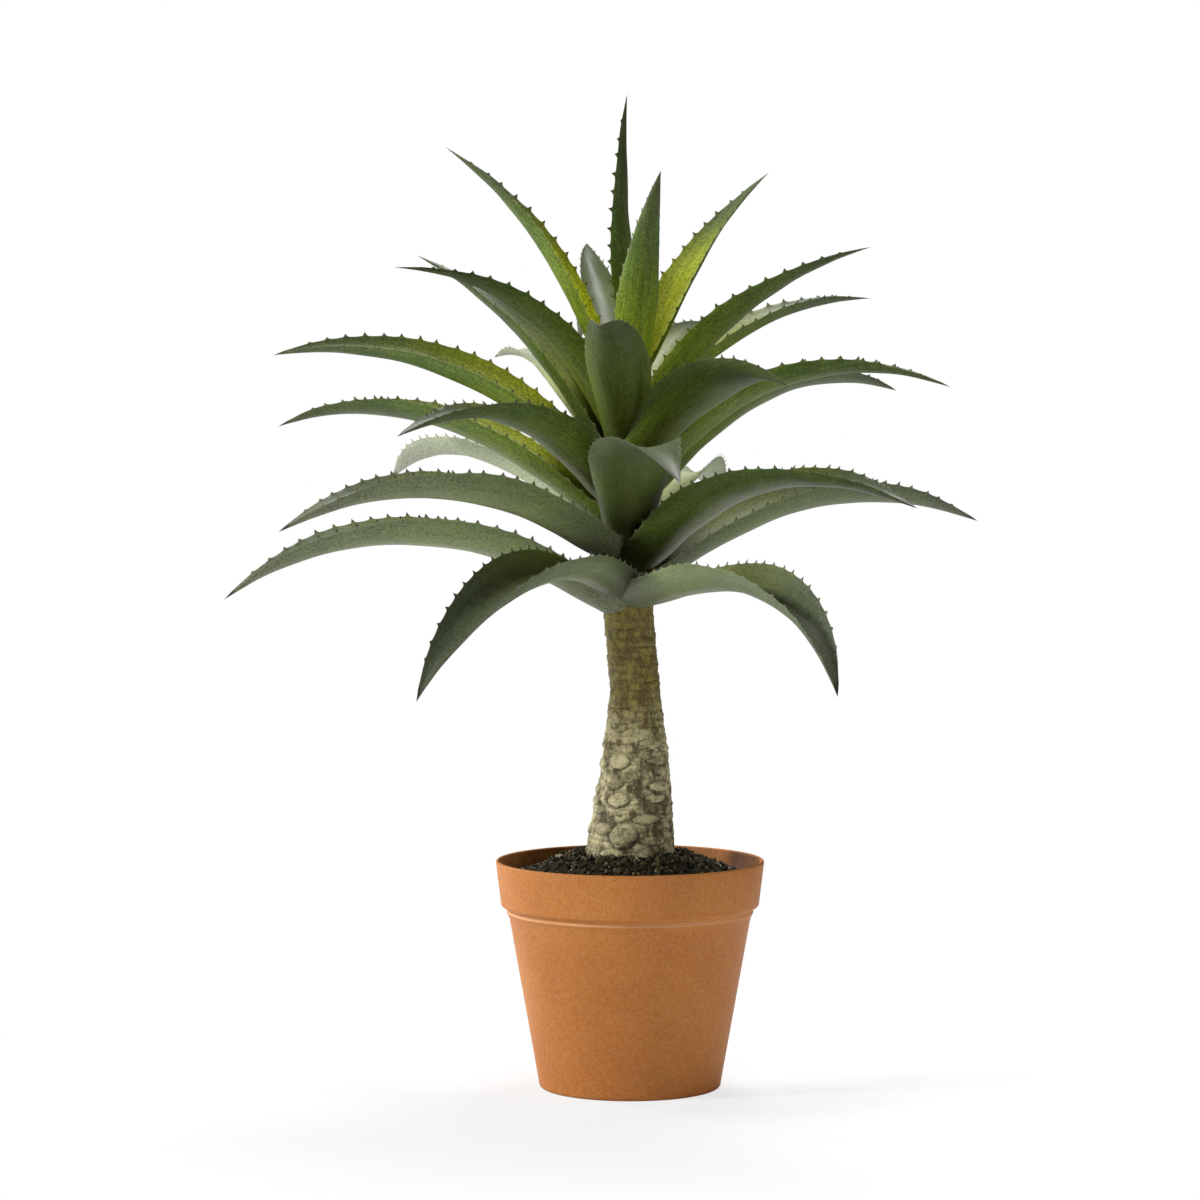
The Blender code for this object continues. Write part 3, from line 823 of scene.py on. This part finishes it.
def make_leaf(leaf, material, seed):
    """One leaf: a lens section, thick at the midrib, with scalloped and toothed edges."""
    name, size = leaf[:2]
    fold = leaf[8]
    length, width, fullness = LEAF_SIZES[size]
    length, width = length * MM, width * MM
    rng = Random(seed)
    midrib = leaf_midrib(leaf)
    stations, teeth, step = leaf_stations(length, rng)
    drift = Vector((rng.uniform(0, 50), rng.uniform(0, 50), 0))
    bm = bmesh.new()
    bmesh.ops.create_grid(bm, x_segments=len(stations) - 1, y_segments=LEAF_FACETS * 2, size=0.5)
    layers = {key: bm.verts.layers.float.new(key)
              for key in ("along", "edge", "inner", "tooth", "glow", "powder_and_sheen", "skin_and_shade_darkening")}
    skin = bm.loops.layers.uv.new("skin")
    grid_place = {}
    for vertex in bm.verts:
        share = stations[round((vertex.co.x + 0.5) * (len(stations) - 1))]
        around = round((vertex.co.y + 0.5) * LEAF_FACETS * 2)
        outside = around <= LEAF_FACETS
        step_across = around / LEAF_FACETS * 2 - 1 if outside else 3 - around / LEAF_FACETS * 2
        position = sin(pi / 2 * step_across)
        spot = share * MIDRIB_STEPS
        index = min(int(spot), MIDRIB_STEPS - 1)
        centre = midrib[index].lerp(midrib[index + 1], spot - index)
        forward, side, inward = leaf_axes(*leaf_growth(leaf, share))
        angle = leaf_fold(share, fold)
        across = leaf_width(share, width, fullness) + LEAF_FOOT_WIDE * width * clasp(share)
        centre = centre - Vector((forward.x, forward.y, 0)) * LEAF_FOOT_REACH * clasp(share * 3)
        arc_radius = across / angle
        turn = position * angle / 2
        thickness = LEAF_THICK_BASE + (LEAF_THICK_TIP - LEAF_THICK_BASE) * share
        thickness *= (1 - position * position) ** 0.8 * min(1, across / LEAF_THINS_BELOW)
        offset = -thickness / 2 if outside else thickness / 2
        wave = noise.noise(Vector((share * 7, position * 1.3, 0)) + drift)
        swing = noise.noise(Vector((share * 3, 9, 3)) + drift) * abs(position)
        calm = min(1, share * 5) * min(1, (1 - share) * 6)
        lift = (wave * 0.9 + swing * 1.6) * MM * calm
        point = centre + side * (arc_radius - offset) * sin(turn)
        point += inward * (arc_radius - (arc_radius - offset) * cos(turn) + lift)
        spiked = 0.0
        if abs(position) > 0.999 and 0 < share < 1:
            sign = 1 if position > 0 else -1
            stand, spiked = edge_shape(teeth, step, share, sign, length)
            stand *= min(1, across / (6 * MM))
            outward = (side * cos(turn) + inward * sin(turn)) * sign
            point += outward * stand + forward * spiked * 0.9 * MM
        vertex.co = point
        grid_place[vertex] = (share * length, position * across / 2)
        face_side = 0.5 if abs(position) > 0.999 else float(not outside)
        values = (share, abs(position), face_side, spiked, OWN_GLOW.get(name, GLOW[size]),
                  POWDER_AND_SHEEN.get(name, 0.0), SKIN_AND_SHADE_DARKENING.get(name, 0.0))
        for key, value in zip(layers, values):
            vertex[layers[key]] = value
    for face in bm.faces:
        for loop in face.loops:
            loop[skin].uv = grid_place[loop.vert]
    bmesh.ops.remove_doubles(bm, verts=bm.verts, dist=1e-6)
    open_edges = [edge for edge in bm.edges if edge.is_boundary]
    bmesh.ops.holes_fill(bm, edges=open_edges, sides=0)
    bmesh.ops.recalc_face_normals(bm, faces=bm.faces)
    return finish_piece(name + "_blade", bm, material, name, 55)


# ================================================================ stage
def camera_rays(tree):
    """1 for rays straight from the camera or through something clear, 0 for bounced light."""
    path = tree.nodes.new("ShaderNodeLightPath")
    rays = path.outputs["Is Camera Ray"], path.outputs["Is Transmission Ray"]
    return calculate(tree, "MAXIMUM", *rays)


def make_floor():
    """Pale floor that shows white to the camera and keeps the plant's soft shadow."""
    bm = bmesh.new()
    bmesh.ops.create_grid(bm, x_segments=1, y_segments=1, size=8.0)
    mesh = bpy.data.meshes.new("studio_floor")
    bm.to_mesh(mesh)
    bm.free()
    floor = bpy.data.objects.new("studio_floor", mesh)
    bpy.context.scene.collection.objects.link(floor)
    material = bpy.data.materials.new("studio_floor_white")
    material.use_nodes = True
    tree = material.node_tree
    tree.nodes.clear()
    matt = add_node(tree, "ShaderNodeBsdfDiffuse", {"Color": FLOOR_GREY})
    white = add_node(tree, "ShaderNodeEmission", {"Color": STUDIO_WHITE, "Strength": 1.0})
    place = tree.nodes.new("ShaderNodeTexCoord").outputs["Object"]
    reach = add_node(tree, "ShaderNodeVectorMath", {0: place}, operation="LENGTH").outputs["Value"]
    whitened = spread(tree, reach, 0.12, 0.45, 0.75, 1.0)
    share = calculate(tree, "MULTIPLY", camera_rays(tree), whitened)
    both = add_node(tree, "ShaderNodeMixShader",
                    {0: share, 1: matt.outputs[0], 2: white.outputs[0]})
    output = tree.nodes.new("ShaderNodeOutputMaterial")
    tree.links.new(both.outputs[0], output.inputs["Surface"])
    mesh.materials.append(material)


def make_world():
    world = bpy.data.worlds.new("studio")
    bpy.context.scene.world = world
    world.use_nodes = True
    tree = world.node_tree
    tree.nodes.clear()
    soft = add_node(tree, "ShaderNodeBackground", {"Color": STUDIO_WHITE, "Strength": 0.12})
    white = add_node(tree, "ShaderNodeBackground", {"Color": STUDIO_WHITE, "Strength": 1.0})
    both = add_node(tree, "ShaderNodeMixShader",
                    {0: camera_rays(tree), 1: soft.outputs[0], 2: white.outputs[0]})
    output = tree.nodes.new("ShaderNodeOutputWorld")
    tree.links.new(both.outputs[0], output.inputs["Surface"])


def add_lamp(name, place, aim, size, power, colour=(1, 1, 1)):
    lamp = bpy.data.lights.new(name, "AREA")
    lamp.shape = "DISK"
    lamp.size = size
    lamp.energy = power
    lamp.color = colour
    item = bpy.data.objects.new(name, lamp)
    bpy.context.scene.collection.objects.link(item)
    item.location = place
    item.rotation_euler = (Vector(aim) - Vector(place)).to_track_quat("-Z", "Y").to_euler()


def make_lights():
    crown = (0, 0, 0.40)
    add_lamp("key_left", (-2.1, -0.85, 1.4), crown, 0.5, 49)
    add_lamp("top_back", (0.2, 0.7, 2.1), crown, 0.5, 48)
    add_lamp("back_left", (-1.7, 1.2, 0.9), crown, 0.5, 24)
    add_lamp("fill_right", (1.4, -1.8, 0.6), crown, 0.8, 9)


def make_camera():
    camera = bpy.data.cameras.new("camera")
    camera.lens = 130
    camera.sensor_width = 36
    camera.clip_end = 50
    item = bpy.data.objects.new("camera", camera)
    bpy.context.scene.collection.objects.link(item)
    place = Vector((-0.018, -2.585, 0.447))
    aim = Vector((-0.018, 0, 0.293))
    item.location = place
    item.rotation_euler = (aim - place).to_track_quat("-Z", "Y").to_euler()
    bpy.context.scene.camera = item


# ================================================================ the plant
make_pot(pot_material())
soil = soil_material()
make_soil(soil)
make_crumbs(soil)
make_trunk(trunk_material())
leaf_skin = leaf_material()
for number, leaf in enumerate(LEAVES):
    make_leaf(leaf, leaf_skin, LEAF_SEED + number)

make_floor()
make_world()
make_lights()
make_camera()
bpy.context.scene.view_settings.view_transform = "Standard"
